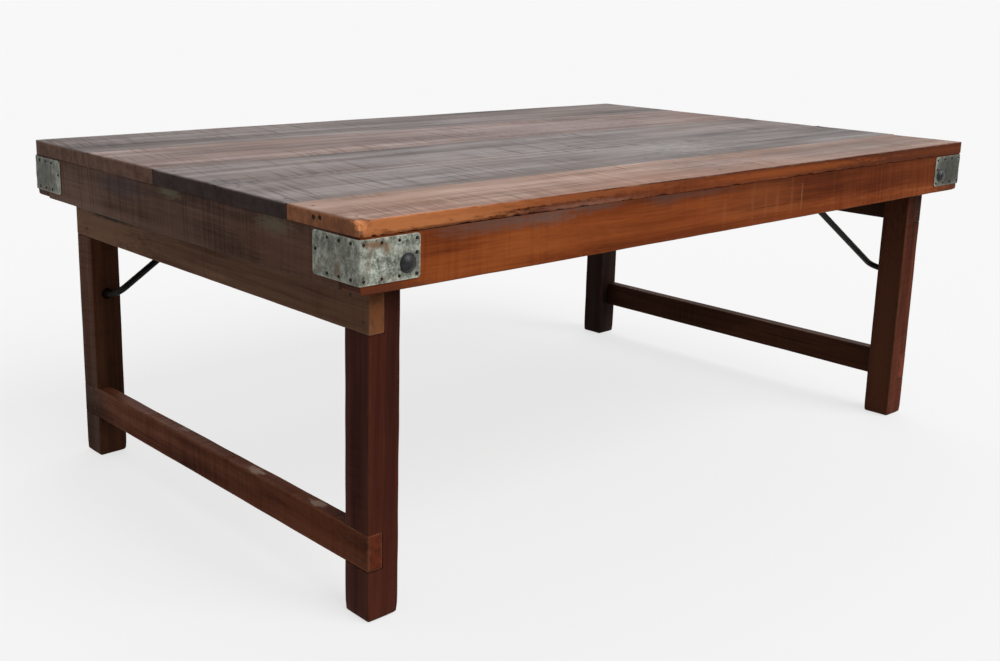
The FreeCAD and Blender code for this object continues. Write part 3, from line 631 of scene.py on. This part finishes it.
make_plank(4, 8,
           dict(dark=(63, 47, 42), mid=(93, 69, 61), light=(117, 89, 80), worn=(96, 68, 56),
                end=(114, 85, 72), saw_tone=(116, 97, 91), stain=(108, 77, 64)), spots=P4_PAINTED_SHEEN,
           dull=0.58)
make_plank(5, 8,
           dict(dark=(47, 38, 35), mid=(69, 56, 52), light=(90, 75, 70), worn=(82, 64, 55),
                end=(114, 86, 73), saw_tone=(90, 78, 74), stain=(83, 61, 51)), spots=P5_PAINTED_SHEEN,
           side=1, dull=0.6)


# Frame under the deck

APRON_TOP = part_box("side_apron_front")[1][2]
APRON_FRONT, APRON_LEFT = -377, -604
APRON_ROUND = 9 * MM
SEATED_ZONE, SEATED_WEAR = 4 * MM, 0.12


def apron_corners(points, low, high):
    """Rounds the lower corners of a side apron."""
    for x, inward in ((low[0], 1), (high[0], -1)):
        round_corner(points, 0, 2, np.array([x, low[2]]), np.array([inward, 1]), APRON_ROUND)


def seated(points):
    """Aprons are hardly worn along the top, where the planks lie on them."""
    return np.where(points[:, 2] > APRON_TOP - SEATED_ZONE, SEATED_WEAR, 1.0)


APRON = dict(dark=(70, 30, 13), mid=(116, 54, 22), light=(146, 76, 34), worn=(132, 70, 36),
             end=(78, 50, 36), saw_tone=(150, 86, 46), saw=0.14, gloss=0.05, tilt=0.04)
# Painted shade: a dark tone standing for the shade in the gaps under the deck and under the end
# apron.
PAINTED_GAP_SHADE = (30, 18, 13)
# The first row is painted shade: a dark strip along the top of the front apron, under the deck.
FRONT_SPOTS = [((-4, APRON_FRONT, 439), (3000, 12, 5), (78, 38, 20), 0.4, 0.5),
               ((-590, -375, 382), (90, 40, 10), (84, 46, 32), 0.7, 0.8),
               ((-425, APRON_FRONT, 434), (120, 8, 15), (98, 72, 62), 0.75, 0.9),
               ((-345, APRON_FRONT, 432), (70, 8, 14), (104, 78, 68), 0.75, 0.9),
               ((-270, APRON_FRONT, 437), (70, 8, 11), (96, 70, 60), 0.7, 0.9),
               ((-138, APRON_FRONT, 435), (60, 8, 14), (86, 60, 52), 0.7, 0.9),
               ((-60, APRON_FRONT, 435), (80, 8, 11), (86, 58, 48), 0.6, 0.9),
               ((-330, APRON_FRONT, 404), (200, 8, 26), (148, 80, 38), 0.4, 1.0),
               ((60, APRON_FRONT, 415), (130, 8, 40), (134, 78, 46), 0.3, 0.9),
               ((154, APRON_FRONT, 410), (2.2, 6, 30), (170, 120, 84), 0.42, 0.8),
               ((130, APRON_FRONT, 410), (5, 6, 34), (142, 88, 54), 0.4, 0.9),
               ((96, APRON_FRONT, 408), (6, 6, 34), (140, 84, 50), 0.4, 0.9),
               ((70, APRON_FRONT, 408), (5, 6, 32), (140, 84, 50), 0.35, 0.9),
               ((40, APRON_FRONT, 410), (6, 6, 32), (140, 84, 50), 0.35, 0.9),
               ((-20, APRON_FRONT, 404), (6, 6, 28), (140, 84, 50), 0.3, 0.9),
               ((400, APRON_FRONT, 418), (440, 8, 40), (88, 38, 14), 0.6, 0.9),
               ((600, APRON_FRONT, 384), (90, 10, 11), (66, 31, 17), 0.75, 0.8)]
for side, seed, spots in (("front", 11, FRONT_SPOTS), ("back", 12, ())):
    make_board("side_apron_" + side, "top",
               wood("side_apron_" + side, "x", seed, spots=spots, **APRON),
               seed, (7, 14, 9), ease=2.2, wander=0.6, sharper=seated, reshape=apron_corners)

END = dict(dark=(57, 41, 34), mid=(88, 64, 53), light=(106, 79, 66), worn=(88, 67, 56),
           end=(70, 52, 44), saw_tone=(106, 84, 72), saw=0.22, gloss=0.05, tilt=0.03, spread=0.14)
# The first row is painted shade along the joint under the deck.
LEFT_SPOTS = [((APRON_LEFT, 0, 439), (9, 400, 3.5), PAINTED_GAP_SHADE, 0.4, 0.6),
              ((APRON_LEFT, -3, 433), (8, 40, 9), (112, 108, 90), 0.65, 0.8),
              ((APRON_LEFT, -225, 428), (8, 46, 14), (108, 104, 86), 0.65, 0.8),
              ((APRON_LEFT, 120, 425), (8, 90, 20), (66, 58, 62), 0.5, 0.7),
              ((APRON_LEFT, -270, 404), (9, 170, 40), (110, 78, 62), 0.5, 0.8)]
for side, seed, spots in (("left", 13, LEFT_SPOTS), ("right", 14, ())):
    make_board("end_apron_" + side, "top",
               wood("end_apron_" + side, "y", seed, spots=spots, **END),
               seed, (14, 7, 9), ease=2.2, wander=0.6, sharper=seated)

INNER = dict(dark=(48, 32, 24), mid=(82, 56, 40), light=(110, 80, 58), worn=(112, 84, 62),
             end=(70, 50, 38), saw=0.5, saw_tone=(128, 100, 78))
for seed, node in enumerate(("cross_batten_left", "cross_batten_right", "centre_rail"), INNER_SEED):
    make_board(node, "top", wood(node, "y", seed, **INNER), seed, (9, 12, 6),
               ease=1.4, wander=0.5)


# Leg frames

FRAME_LEFT = -566
HOOK_HEIGHT = 242 * MM
HOLE_RADIUS, HOLE_DEPTH, HOLE_SKIN = 7.3 * MM, 9 * MM, 1.5 * MM
HOLE_GRID = np.arange(-8.4, 8.5, 1.2) * MM
FOOT_ZONE, LEG_TOP_ZONE, LEG_TOP_WEAR = 14 * MM, 8 * MM, 2.2
LEG = dict(worn=(82, 46, 32), end=(54, 36, 27), saw=0.08, saw_tone=(96, 58, 42), gloss=0.05)
# The back right leg's very dark tones are painted shade, standing for the shade under the table.
LEG_TONES = {("left", "front"): dict(dark=(38, 17, 12), mid=(62, 28, 19), light=(80, 38, 26)),
             ("left", "back"): dict(dark=(48, 29, 19), mid=(78, 47, 31), light=(100, 64, 44)),
             ("right", "front"): dict(dark=(46, 17, 9), mid=(76, 33, 17), light=(98, 48, 27)),
             ("right", "back"): dict(dark=(20, 12, 9), mid=(34, 21, 16), light=(48, 30, 23))}
LEG_SPOTS = {"leg_front_right": [((516, -320, 150), (8, 60, 500), (96, 60, 42), 0.75, 0.9),
                                 # The second row is painted shade: it darkens the top of the leg's
                                 # front face, under the apron.
                                 ((545, -342, 370), (40, 8, 90), (58, 26, 13), 0.6, 0.9)],
             "leg_back_left": [((FRAME_LEFT, 320, 50), (14, 60, 150), (48, 30, 19), 0.7, 0.9)]}
RAIL = dict(saw=0.08, saw_tone=(120, 88, 68), gloss=0.05)
# The second row is a painted shadow on the rail, in the gap under the end apron.
RAIL_SPOTS = [((FRAME_LEFT, 260, 352), (30, 200, 60), (146, 110, 88), 0.6, 0.8),
              ((FRAME_LEFT, 235, 363), (8, 85, 5.5), PAINTED_GAP_SHADE, 0.9, 0.7)]
STRETCHER_SPOTS = [((FRAME_LEFT, -240, 80), (8, 110, 60), (118, 64, 42), 0.5, 0.9),
                   ((FRAME_LEFT, 345, 82), (14, 100, 70), (36, 23, 13), 0.85, 0.8),
                   ((-557, -108, 103.5), (9, 22, 3), (158, 134, 118), 0.75, 0.6),
                   ((-556, -234, 103.5), (9, 18, 3), (158, 134, 118), 0.75, 0.6),
                   ((-551, 73, 103.5), (8, 14, 3), (138, 112, 96), 0.6, 0.6),
                   ((-560, -312, 103.5), (8, 12, 3), (128, 104, 90), 0.6, 0.6)]
RAIL_TONES = {
    "upper_rail_left": dict(dark=(73, 49, 36), mid=(111, 80, 61), light=(135, 100, 78),
                            worn=(120, 86, 66), end=(120, 74, 46), spots=RAIL_SPOTS),
    # The right frame's rail and stretcher are darker than the left ones partly as painted shade,
    # for the shade under the table.
    "upper_rail_right": dict(dark=(40, 24, 17), mid=(66, 42, 30), light=(88, 58, 42),
                             worn=(88, 58, 42), end=(62, 32, 20)),
    "lower_stretcher_left": dict(dark=(60, 30, 19), mid=(98, 53, 34), light=(122, 72, 49),
                                 worn=(116, 76, 55), end=(92, 42, 25), spots=STRETCHER_SPOTS),
    "lower_stretcher_right": dict(dark=(38, 20, 12), mid=(62, 34, 21), light=(84, 50, 33),
                                  worn=(84, 56, 42), end=(112, 54, 36))}


def make_leg(end, row, seed):
    """A leg, notched where the rails lap over it; two of the legs have the stay's hook hole."""
    node = "leg_%s_%s" % (row, end)
    rails = ["upper_rail_" + end, "lower_stretcher_" + end]
    notches = [tuple(np.array(corner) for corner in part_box(rail)) for rail in rails]
    low, high = (np.array(corner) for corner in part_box(node))
    inner_x = 1 if end == "left" else 0
    extra = {"x": {float(notch[inner_x][0]) for notch in notches},
             "z": {float(corner[2]) for notch in notches for corner in notch}}
    hooked = (row, end) in (("back", "left"), ("front", "right"))
    hole = np.array([(low[0] + high[0]) / 2, HOOK_HEIGHT])
    if hooked:
        extra["x"] |= {float(v) for v in hole[0] + HOLE_GRID}
        extra["z"] |= {float(v) for v in hole[1] + HOLE_GRID}
    face, inward = (low[1], 1) if row == "back" else (high[1], -1)

    def solid(x, y, z):
        """The cells outside the notches."""
        kept = np.ones(x.shape, bool)
        for a, b in notches:
            kept &= ~((x > a[0]) & (x < b[0]) & (z > a[2]) & (z < b[2]))
        return kept

    def reshape(points, low, high):
        """Sinks the hook's hole into the leg's inner face."""
        if hooked:
            away = np.linalg.norm(points[:, [0, 2]] - hole, axis=1)
            sunk = (away < HOLE_RADIUS) & (abs(points[:, 1] - face) < HOLE_SKIN)
            points[sunk, 1] = face + inward * HOLE_DEPTH

    def clipped_ends(points):
        """The feet and the tops are worn rounder than the rest."""
        foot = np.clip(1 - points[:, 2] / FOOT_ZONE, 0, 1)
        return np.where(points[:, 2] > high[2] - LEG_TOP_ZONE, LEG_TOP_WEAR, 1 + foot)

    material = wood(node, "z", seed, spots=LEG_SPOTS.get(node, ()), **LEG, **LEG_TONES[end, row])
    make_board(node, "leg_frame_" + end, material, seed, (10, 10, 9), ease=2.2,
               wander=0.5, solid=solid, sharper=clipped_ends, reshape=reshape,
               extra={key: sorted(lines) for key, lines in extra.items()})


for seed, (end, row) in enumerate(((e, r) for e in ENDS for r in ROWS), LEG_SEED):
    make_leg(end, row, seed)
for seed, (kind, end) in enumerate(((k, e) for k in ("upper_rail", "lower_stretcher")
                                    for e in ENDS), RAIL_SEED):
    node = "%s_%s" % (kind, end)
    make_board(node, "leg_frame_" + end,
               wood(node, "y", seed, **RAIL, **RAIL_TONES[node]),
               seed, (9, 9, 9), ease=1.8, wander=0.4)


# Corner plates

PLATE_FRONT = -378
SHEET, BEND = 1.2 * MM, 2.2 * MM
BEND_ARC = BEND * math.pi / 2
PLATE_STEP, PLATE_EDGE = 2 * MM, 0.5 * MM
PLATE_EASE, PLATE_ROUND = 0.3 * MM, 4.5 * MM
PLATE_RIM, PLATE_HELD = 5 * MM, 4 * MM
BROAD_DENTS, SMALL_DENTS = (70, 0, 70), (190, 0, 190)
RUST = (116, 72, 28)
PLATE_SPOTS = {
    "corner_plate_front_left": [((-588, PLATE_FRONT, 430), (22, 4, 6), RUST, 0.8, 0.9),
                                ((-572, PLATE_FRONT, 425), (9, 4, 9), RUST, 0.6, 0.9),
                                ((-602, -340, 398), (4, 26, 7), RUST, 0.5, 0.9),
                                ((-542, PLATE_FRONT, 407), (18, 4, 16), (66, 66, 58), 0.6, 0.9),
                                ((-604, -342, 412), (4, 60, 40), (82, 79, 66), 0.4, 0.9)],
    "corner_plate_front_right": [((560, PLATE_FRONT, 402), (30, 4, 14), (78, 76, 66), 0.6, 0.9),
                                 ((568, PLATE_FRONT, 412), (60, 8, 50), (32, 28, 19), 0.9, 0.8)],
    "corner_plate_back_left": [((-605, 350, 412), (6, 60, 50), (42, 40, 32), 0.75, 0.9)]}


def make_plate(end, row, seed):
    """A bent sheet plate with round corners and shallow dents, made flat and folded round."""
    node = "corner_plate_%s_%s" % (row, end)
    low, high = (np.array(corner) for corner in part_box(node))
    half_arc = BEND_ARC / 2
    side_run, end_run = high[0] - low[0] - BEND, high[1] - low[1] - BEND
    flat_low = np.array([-side_run - half_arc, -SHEET, low[2]])
    flat_high = np.array([end_run + half_arc, 0, high[2]])
    folds = [float(v) for v in np.linspace(-half_arc, half_arc, 7)]
    lines = [grid_lines(flat_low[0], flat_high[0], PLATE_STEP, PLATE_EDGE, folds),
             np.array([-SHEET, -0.75 * SHEET, -0.25 * SHEET, 0]),
             grid_lines(flat_low[2], flat_high[2], PLATE_STEP, PLATE_EDGE)]
    points, quads = lattice(lines)
    rim = np.minimum.reduce([points[:, 0] - flat_low[0], flat_high[0] - points[:, 0],
                             points[:, 2] - flat_low[2], flat_high[2] - points[:, 2]])
    closeness = np.clip(1 - rim / PLATE_RIM, 0, 1)
    points, _ = round_edges(points, flat_low, flat_high, np.full(len(points), PLATE_EASE))
    for s, s_in in ((flat_low[0], 1), (flat_high[0], -1)):
        for z, z_in in ((flat_low[2], 1), (flat_high[2], -1)):
            round_corner(points, 0, 2, np.array([s, z]), np.array([s_in, z_in]), PLATE_ROUND)
    held = np.clip(rim / PLATE_HELD, 0.2, 1)
    dents = 0.45 * rumple(points, BROAD_DENTS, seed) + 0.3 * rumple(points, SMALL_DENTS, seed + 3)
    points[:, 1] += np.clip(dents, -0.6, 0.5) * held * MM
    run, lift = points[:, 0], points[:, 1]
    angle = np.clip((run + half_arc) / BEND, 0, math.pi / 2)
    x = BEND - (BEND + lift) * np.sin(angle) + np.maximum(-run - half_arc, 0)
    y = BEND - (BEND + lift) * np.cos(angle) + np.maximum(run - half_arc, 0)
    placed = points.copy()
    placed[:, 0] = low[0] + x if end == "left" else high[0] - x
    placed[:, 1] = low[1] + y if row == "front" else high[1] - y
    if (end == "left") != (row == "front"):
        quads = quads[:, ::-1]
    piece = new_object("tin_" + node, placed, quads.tolist(), {"edge": closeness})
    material = plate_metal(node, seed, PLATE_SPOTS.get(node, ()))
    dress(piece, node, "top", material)


for seed, (end, row) in enumerate(((e, r) for e in ENDS for r in ROWS), PLATE_SEED):
    make_plate(end, row, seed)


# Iron

def finish_nodes(material, *nodes):
    """Gives CAD nodes that are shown as they are their material."""
    for node in nodes:
        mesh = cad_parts[node].data
        mesh.materials.clear()
        mesh.materials.append(material)


NAIL = mm((0, 1.2), (0.8, 1.12), (1.45, 0.8), (1.9, 0.25), (1.95, 0),
          (1.2, -0.2), (1.1, -6), (0.5, -11.5), (0, -12))
NAIL_SIDES, NAIL_UNEVEN = 10, 0.16
BOLT = mm((0, 6), (2.5, 5.8), (5, 5.05), (7.4, 3.75), (9.2, 2.1), (10.2, 0.7), (10.4, 0),
          (4, -0.1), (4, -90.2), (3.2, -91), (0, -91.2))
BOLT_SIDES, BOLT_UNEVEN = 28, 0.03
nail_iron = iron("nail_iron", (18, 15, 13), (46, 37, 30), 0.6, 0.2, 300)
waxed_iron = iron("waxed_iron", (40, 28, 22), (70, 50, 39), 0.6, 0.1, 300)
bolt_steel = iron("bolt_steel", (11, 11, 12), (46, 46, 46), 0.3, 0.35, 160, 0.36)
rod_iron = iron("rod_iron", (16, 15, 14), (44, 40, 37), 0.5, 0.5, 120)
for seed, (row, end) in enumerate(((r, e) for r in ROWS for e in ENDS), NAIL_SEED):
    node = "plate_nails_%s_%s" % (row, end)
    points, faces = driven(node, NAIL, NAIL_SIDES, NAIL_UNEVEN, seed)
    dress(new_object("hammered_" + node, points, faces), node, "top", nail_iron)
points, faces = driven("pivot_bolts", BOLT, BOLT_SIDES, BOLT_UNEVEN, BOLT_SEED)
bolts = new_object("domed_pivot_bolts", points, faces)
dress(bolts, "pivot_bolts", "top", bolt_steel)
finish_nodes(nail_iron, "deck_nails", "batten_nails")
finish_nodes(waxed_iron, "lap_nails_left", "lap_nails_right")
finish_nodes(bolt_steel, "pivot_washers", "pivot_nuts")
finish_nodes(rod_iron, "stay_rod_left", "stay_rod_right", "stay_pins")


# Studio

FLOOR_HALF, FLOOR_DROP = 30.0, 0.2 * MM
FLOOR_GLOW, FLOOR_SEEN, FLOOR_BOUNCE = 0.69, 0.22, 0.3
WORLD_LIGHT, WORLD_SEEN = 0.45, 0.939
WHITE = (1, 1, 1, 1)
PICTURE = (1000, 661)
FOCAL = 1228.269
VIEW_CENTRE = (463.582, 280.634)
CAMERA_AT = (-1.308059, -1.306698, 0.670226)
CAMERA_TURN = (42.075, 13.161, 1.221)


def grey(level):
    """A neutral colour."""
    return (level, level, level, 1)


def seen_rays(tree):
    """1 for rays from the camera, mirrors and glass, 0 for those that carry light."""
    path = add_node(tree, "LightPath", {})
    total = path.outputs["Is Camera Ray"]
    for name in ("Is Glossy Ray", "Is Transmission Ray"):
        adder = add_node(tree, "Math", {0: total, 1: path.outputs[name]}, operation="ADD",
                         use_clamp=True)
        total = adder.outputs[0]
    return total


def make_floor():
    """A pale floor that keeps the table's shadow; the light it throws back is dimmer."""
    corners = ((-1, -1), (1, -1), (1, 1), (-1, 1))
    points = np.array([[x * FLOOR_HALF, y * FLOOR_HALF, -FLOOR_DROP] for x, y in corners])
    floor = new_object("studio_floor", points, [[0, 1, 2, 3]])
    material = bpy.data.materials.new("studio_floor")
    material.use_nodes = True
    tree = material.node_tree
    tree.nodes.clear()
    pale = add_node(tree, "Emission", {"Color": WHITE, "Strength": FLOOR_GLOW})
    matt = add_node(tree, "BsdfDiffuse", {"Color": grey(FLOOR_SEEN)})
    both = add_node(tree, "AddShader", {0: pale.outputs[0], 1: matt.outputs[0]})
    dim = add_node(tree, "BsdfDiffuse", {"Color": grey(FLOOR_BOUNCE)})
    pick = add_node(tree, "MixShader", {0: seen_rays(tree), 1: dim.outputs[0], 2: both.outputs[0]})
    add_node(tree, "OutputMaterial", {0: pick.outputs[0]})
    floor.data.materials.append(material)


def make_sun(name, towards, strength, spread):
    """A soft lamp shining from the direction towards, seen from the table."""
    data = bpy.data.lights.new(name, "SUN")
    data.energy = strength
    data.angle = math.radians(spread)
    lamp = bpy.data.objects.new(name, data)
    lamp.rotation_euler = Vector(towards).to_track_quat("Z", "Y").to_euler()
    bpy.context.scene.collection.objects.link(lamp)


def make_world():
    """A plain white surround, dimmer as a light than it looks."""
    world = bpy.data.worlds.new("studio")
    bpy.context.scene.world = world
    world.use_nodes = True
    tree = world.node_tree
    tree.nodes.clear()
    level = add_node(tree, "MapRange", {"Value": seen_rays(tree), "To Min": WORLD_LIGHT,
                                        "To Max": WORLD_SEEN})
    sky = add_node(tree, "Background", {"Color": WHITE, "Strength": level.outputs[0]})
    add_node(tree, "OutputWorld", {0: sky.outputs[0]})


def make_camera():
    """The photograph's camera; its focal length and centre are in pixels of the picture."""
    yaw, pitch, roll = (math.radians(a) for a in CAMERA_TURN)
    forward = Vector((math.sin(yaw) * math.cos(pitch), math.cos(yaw) * math.cos(pitch),
                      -math.sin(pitch)))
    level = Vector((math.cos(yaw), -math.sin(yaw), 0))
    upright = level.cross(forward)
    right = math.cos(roll) * level + math.sin(roll) * upright
    up = math.cos(roll) * upright - math.sin(roll) * level
    data = bpy.data.cameras.new("camera")
    data.sensor_width = 36
    wide, high = PICTURE
    data.lens = FOCAL / wide * data.sensor_width
    data.shift_x = (wide / 2 - VIEW_CENTRE[0]) / wide
    data.shift_y = (VIEW_CENTRE[1] - high / 2) / wide
    data.clip_end = 100
    camera = bpy.data.objects.new("camera", data)
    turn = Matrix((right, up, -forward)).transposed()
    camera.matrix_world = Matrix.Translation(Vector(CAMERA_AT)) @ turn.to_4x4()
    bpy.context.scene.collection.objects.link(camera)
    bpy.context.scene.camera = camera


make_floor()
make_world()
make_sun("key", (0.15, -0.62, 0.55), 2.4, 50)
make_sun("fill", (0.5, 0.6, 0.6), 0.9, 60)
make_camera()
bpy.context.scene.view_settings.view_transform = "Standard"
